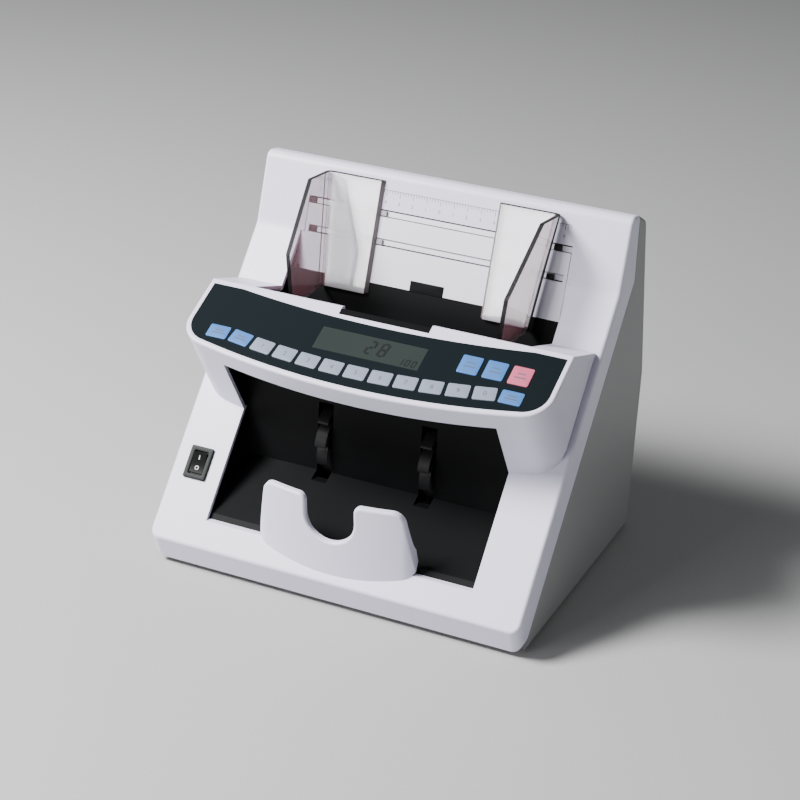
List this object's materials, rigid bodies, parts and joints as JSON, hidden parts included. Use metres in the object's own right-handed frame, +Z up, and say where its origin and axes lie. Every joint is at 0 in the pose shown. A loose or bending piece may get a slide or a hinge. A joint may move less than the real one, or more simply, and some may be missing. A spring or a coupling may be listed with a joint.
{
  "type": "banknote counting machine",
  "caption": "Desktop banknote counter: top hopper with sliding guides, sloping keypad console, front stacker pocket with notched stop, and belt-driven rollers inside.",
  "frame": {"origin": "centre of the bounding box's footprint, on the table under the feet", "axes": "+Z up, -Y towards the user at the keypad, +X to the right as the user sees it"},
  "size_m": [0.2704, 0.2196, 0.2511],
  "materials": {
    "front_shell": "fine-textured moulded plastic",
    "rear_shell": "textured grey plastic",
    "rail_plastic": "smooth light plastic",
    "smoked_plastic": "smoked clear plastic",
    "black_plastic": "black moulded plastic",
    "keypad_film": "dark printed film",
    "grey_key": "soft grey",
    "blue_key": "soft blue",
    "pink_key": "soft pink",
    "display_glass": "flat clear window",
    "display": "reflective liquid crystal",
    "circuit_board": "green laminate",
    "sheet_steel": "zinc-plated sheet",
    "bright_steel": "ground steel",
    "motor_can": "dark enamel",
    "pulley_plastic": "white acetal",
    "black_rubber": "matt rubber"
  },
  "bodies": {
    "housing": {"base_plate": "sheet_steel", "base_screws": "bright_steel", "console_cover": "front_shell", "display_module": "display", "display_window": "display_glass", "drive_motor": "motor_can", "front_cover": "front_shell", "guide_rails": "rail_plastic", "hopper_back_plate": "rail_plastic", "hopper_tray": "black_plastic", "keypad_board": "circuit_board", "keypad_panel": "keypad_film", "left_side_frame": "sheet_steel", "main_board": "circuit_board", "mains_inlet": "black_plastic", "motor_belt": "black_rubber", "note_sensor_bar": "black_plastic", "pickup_belt": "black_rubber", "rear_cover": "rear_shell", "right_side_frame": "sheet_steel", "rubber_feet": "black_rubber", "shaft_bearings": "bright_steel", "stacker_belt": "black_rubber", "stacker_stop": "front_shell", "stacker_tray": "black_plastic", "stay_bars": "bright_steel", "switch_housing": "black_plastic", "transformer": "sheet_steel"},
    "feed_rotor": {"feed_shaft": "bright_steel", "feed_rollers": "black_rubber", "feed_pulleys": "pulley_plastic"},
    "pickup_rotor": {"pickup_shaft": "bright_steel", "pickup_rollers": "black_rubber", "pickup_pulley_wheel": "pulley_plastic"},
    "stacker_rotor": {"stacker_shaft": "bright_steel", "stacker_wheels": "pulley_plastic", "stacker_pulley_wheel": "pulley_plastic"},
    "motor_rotor": {"motor_shaft": "bright_steel", "motor_pulley_wheel": "pulley_plastic"},
    "separator_rotor": {"separator_shaft": "bright_steel", "separator_rollers": "black_rubber"},
    "left_guide": {"left_note_guide": "smoked_plastic"},
    "right_guide": {"right_note_guide": "smoked_plastic"},
    "rocker": {"power_rocker": "black_plastic"},
    "clear_key_cap": {"clear_key": "pink_key"},
    "digit_key_0_cap": {"digit_key_0": "grey_key"},
    "digit_key_1_cap": {"digit_key_1": "grey_key"},
    "digit_key_2_cap": {"digit_key_2": "grey_key"},
    "digit_key_3_cap": {"digit_key_3": "grey_key"},
    "digit_key_4_cap": {"digit_key_4": "grey_key"},
    "digit_key_5_cap": {"digit_key_5": "grey_key"},
    "digit_key_6_cap": {"digit_key_6": "grey_key"},
    "digit_key_7_cap": {"digit_key_7": "grey_key"},
    "digit_key_8_cap": {"digit_key_8": "grey_key"},
    "digit_key_9_cap": {"digit_key_9": "grey_key"},
    "function_key_a_cap": {"function_key_a": "blue_key"},
    "function_key_b_cap": {"function_key_b": "blue_key"},
    "function_key_c_cap": {"function_key_c": "blue_key"},
    "function_key_d_cap": {"function_key_d": "blue_key"},
    "start_key_cap": {"start_key": "blue_key"}
  },
  "joints": [
    {"name": "feed_spin", "type": "hinge", "parent": "housing", "child": "feed_rotor", "pos_m": [0, 0.037, 0.116], "axis": [1, 0, 0], "continuous": true},
    {"name": "pickup_spin", "type": "hinge", "parent": "housing", "child": "pickup_rotor", "pos_m": [0, 0.008, 0.14109], "axis": [1, 0, 0], "continuous": true},
    {"name": "stacker_spin", "type": "hinge", "parent": "housing", "child": "stacker_rotor", "pos_m": [0, -0.015, 0.088], "axis": [1, 0, 0], "continuous": true},
    {"name": "motor_spin", "type": "hinge", "parent": "housing", "child": "motor_rotor", "pos_m": [0, 0.071, 0.052], "axis": [1, 0, 0], "continuous": true},
    {"name": "separator_spin", "type": "hinge", "parent": "housing", "child": "separator_rotor", "pos_m": [0, 0.01494, 0.11989], "axis": [1, 0, 0], "continuous": true},
    {"name": "left_guide_slide", "type": "slide", "parent": "housing", "child": "left_guide", "axis": [1, 0, 0], "range_m": [-0.006, 0.03]},
    {"name": "right_guide_slide", "type": "slide", "parent": "housing", "child": "right_guide", "axis": [-1, 0, 0], "range_m": [-0.006, 0.03]},
    {"name": "rocker_tip", "type": "hinge", "parent": "housing", "child": "rocker", "pos_m": [-0.1164, -0.0728, 0.0656], "axis": [-1, 0, 0], "range_deg": [0, 16]},
    {"name": "clear_key_press", "type": "slide", "parent": "housing", "child": "clear_key_cap", "axis": [0, 0.4566, -0.8897], "range_m": [0, 0.0006], "stiffness_N_per_m": 900, "springref_m": -0.0006},
    {"name": "digit_key_0_press", "type": "slide", "parent": "housing", "child": "digit_key_0_cap", "axis": [0, 0.4566, -0.8897], "range_m": [0, 0.0006], "stiffness_N_per_m": 900, "springref_m": -0.0006},
    {"name": "digit_key_1_press", "type": "slide", "parent": "housing", "child": "digit_key_1_cap", "axis": [0, 0.4566, -0.8897], "range_m": [0, 0.0006], "stiffness_N_per_m": 900, "springref_m": -0.0006},
    {"name": "digit_key_2_press", "type": "slide", "parent": "housing", "child": "digit_key_2_cap", "axis": [0, 0.4566, -0.8897], "range_m": [0, 0.0006], "stiffness_N_per_m": 900, "springref_m": -0.0006},
    {"name": "digit_key_3_press", "type": "slide", "parent": "housing", "child": "digit_key_3_cap", "axis": [0, 0.4566, -0.8897], "range_m": [0, 0.0006], "stiffness_N_per_m": 900, "springref_m": -0.0006},
    {"name": "digit_key_4_press", "type": "slide", "parent": "housing", "child": "digit_key_4_cap", "axis": [0, 0.4566, -0.8897], "range_m": [0, 0.0006], "stiffness_N_per_m": 900, "springref_m": -0.0006},
    {"name": "digit_key_5_press", "type": "slide", "parent": "housing", "child": "digit_key_5_cap", "axis": [0, 0.4566, -0.8897], "range_m": [0, 0.0006], "stiffness_N_per_m": 900, "springref_m": -0.0006},
    {"name": "digit_key_6_press", "type": "slide", "parent": "housing", "child": "digit_key_6_cap", "axis": [0, 0.4566, -0.8897], "range_m": [0, 0.0006], "stiffness_N_per_m": 900, "springref_m": -0.0006},
    {"name": "digit_key_7_press", "type": "slide", "parent": "housing", "child": "digit_key_7_cap", "axis": [0, 0.4566, -0.8897], "range_m": [0, 0.0006], "stiffness_N_per_m": 900, "springref_m": -0.0006},
    {"name": "digit_key_8_press", "type": "slide", "parent": "housing", "child": "digit_key_8_cap", "axis": [0, 0.4566, -0.8897], "range_m": [0, 0.0006], "stiffness_N_per_m": 900, "springref_m": -0.0006},
    {"name": "digit_key_9_press", "type": "slide", "parent": "housing", "child": "digit_key_9_cap", "axis": [0, 0.4566, -0.8897], "range_m": [0, 0.0006], "stiffness_N_per_m": 900, "springref_m": -0.0006},
    {"name": "function_key_a_press", "type": "slide", "parent": "housing", "child": "function_key_a_cap", "axis": [0, 0.4566, -0.8897], "range_m": [0, 0.0006], "stiffness_N_per_m": 900, "springref_m": -0.0006},
    {"name": "function_key_b_press", "type": "slide", "parent": "housing", "child": "function_key_b_cap", "axis": [0, 0.4566, -0.8897], "range_m": [0, 0.0006], "stiffness_N_per_m": 900, "springref_m": -0.0006},
    {"name": "function_key_c_press", "type": "slide", "parent": "housing", "child": "function_key_c_cap", "axis": [0, 0.4566, -0.8897], "range_m": [0, 0.0006], "stiffness_N_per_m": 900, "springref_m": -0.0006},
    {"name": "function_key_d_press", "type": "slide", "parent": "housing", "child": "function_key_d_cap", "axis": [0, 0.4566, -0.8897], "range_m": [0, 0.0006], "stiffness_N_per_m": 900, "springref_m": -0.0006},
    {"name": "start_key_press", "type": "slide", "parent": "housing", "child": "start_key_cap", "axis": [0, 0.4566, -0.8897], "range_m": [0, 0.0006], "stiffness_N_per_m": 900, "springref_m": -0.0006}
  ],
  "couplings": [
    {"joint": "motor_spin", "follows": "feed_spin", "ratio": 2},
    {"joint": "stacker_spin", "follows": "feed_spin", "ratio": 0.66667},
    {"joint": "pickup_spin", "follows": "feed_spin", "ratio": 1.25}
  ]
}
